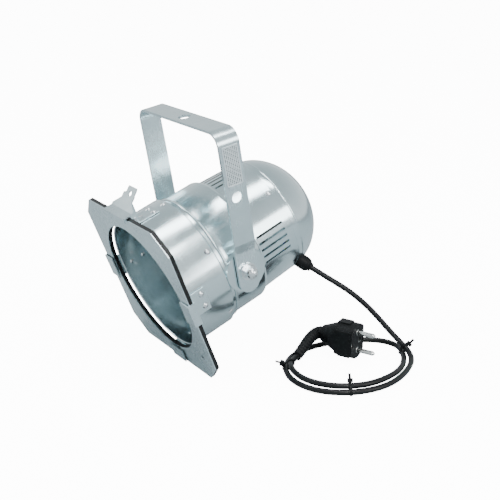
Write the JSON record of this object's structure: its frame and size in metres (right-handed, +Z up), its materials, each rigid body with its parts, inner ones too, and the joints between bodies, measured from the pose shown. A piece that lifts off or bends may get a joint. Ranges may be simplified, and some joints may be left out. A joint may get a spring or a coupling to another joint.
{
  "type": "par can light",
  "caption": "Short polished par can lantern in a strap yoke, with a clipped filter frame, sprung top latch, reflector lamp in a ceramic holder and a tied mains lead with plug.",
  "frame": {"origin": "centre of the hanging hole, on the upper face of the yoke's cross bar", "axes": "+Z up, -Y the way the light shines, +X towards the yoke leg with the label and along the tilt axis; the yoke leans 10 degrees forward and the can points 21 degrees below level at rest"},
  "size_m": [0.2632, 0.264, 0.2486],
  "materials": {
    "bright_aluminium": "polished",
    "black_enamel": "satin",
    "zinc": "bright",
    "label": "embossed",
    "fibre": "matt",
    "black_nylon": "moulded",
    "black_pvc": "satin",
    "brass": "bright",
    "nickel": "bright",
    "ceramic": "glazed",
    "spring_steel": "drawn",
    "lamp_glass": "frosted front, silvered behind",
    "wire_brown": "sleeved",
    "wire_blue": "sleeved",
    "wire_green": "sleeved"
  },
  "bodies": {
    "yoke": {"yoke": "bright_aluminium", "rating_label": "label", "outer_washer_near": "zinc", "outer_washer_far": "zinc"},
    "can": {"front_sleeve": "bright_aluminium", "rear_housing": "bright_aluminium", "rear_cap": "bright_aluminium", "sleeve_rivets": "bright_aluminium", "cap_screws": "zinc", "pivot_seat_near": "bright_aluminium", "pivot_seat_far": "bright_aluminium", "pivot_bolt_near": "zinc", "pivot_bolt_far": "zinc", "friction_washer_near": "fibre", "friction_washer_far": "fibre", "filter_clip_near": "bright_aluminium", "filter_clip_far": "bright_aluminium", "filter_clip_bottom": "bright_aluminium", "clip_rivets": "bright_aluminium", "latch_bracket": "bright_aluminium", "latch_rivets": "bright_aluminium", "latch_pin": "zinc", "latch_spring": "spring_steel", "filter_frame_front": "bright_aluminium", "filter_frame_back": "black_enamel", "filter_frame_rivets": "bright_aluminium", "lamp_bulb": "lamp_glass", "lamp_screw_cap": "nickel", "lampholder_ceramic": "ceramic", "lampholder_shell": "brass", "lampholder_contact": "brass", "lampholder_carrier": "zinc", "holder_screws": "zinc", "carrier_rivets": "zinc", "earth_tag": "zinc", "earth_screw": "zinc", "wire_live": "wire_brown", "wire_neutral": "wire_blue", "wire_earth": "wire_green", "gland_body": "black_nylon", "gland_nut": "black_nylon", "gland_locknut": "black_nylon", "cord_lead": "black_pvc", "cord_loop": "black_pvc", "cord_tie_right": "black_nylon", "cord_tie_near": "black_nylon", "cord_tie_left": "black_nylon", "plug_body": "black_pvc", "plug_strain_relief": "black_pvc", "plug_pins": "nickel", "plug_earth_strips": "nickel", "plug_earth_socket": "nickel"},
    "latch": {"top_latch": "bright_aluminium"},
    "nut_near": {"lock_nut_near": "zinc"},
    "nut_far": {"lock_nut_far": "zinc"}
  },
  "joints": [
    {"name": "tilt", "type": "hinge", "parent": "yoke", "child": "can", "pos_m": [0, 0.02452, -0.13905], "axis": [1, 0, 0], "range_deg": [-38, 70]},
    {"name": "latch_hinge", "type": "hinge", "parent": "can", "child": "latch", "pos_m": [0, -0.06132, -0.08845], "axis": [-1, 0, 0], "range_deg": [0, 60], "stiffness_Nm_per_rad": 0.03, "springref_deg": -22.92},
    {"name": "nut_near_turn", "type": "hinge", "parent": "can", "child": "nut_near", "pos_m": [0.079, 0.02452, -0.13905], "axis": [1, 0, 0], "range_deg": [0, 180]},
    {"name": "nut_far_turn", "type": "hinge", "parent": "can", "child": "nut_far", "pos_m": [-0.079, 0.02452, -0.13905], "axis": [-1, 0, 0], "range_deg": [0, 180]}
  ]
}
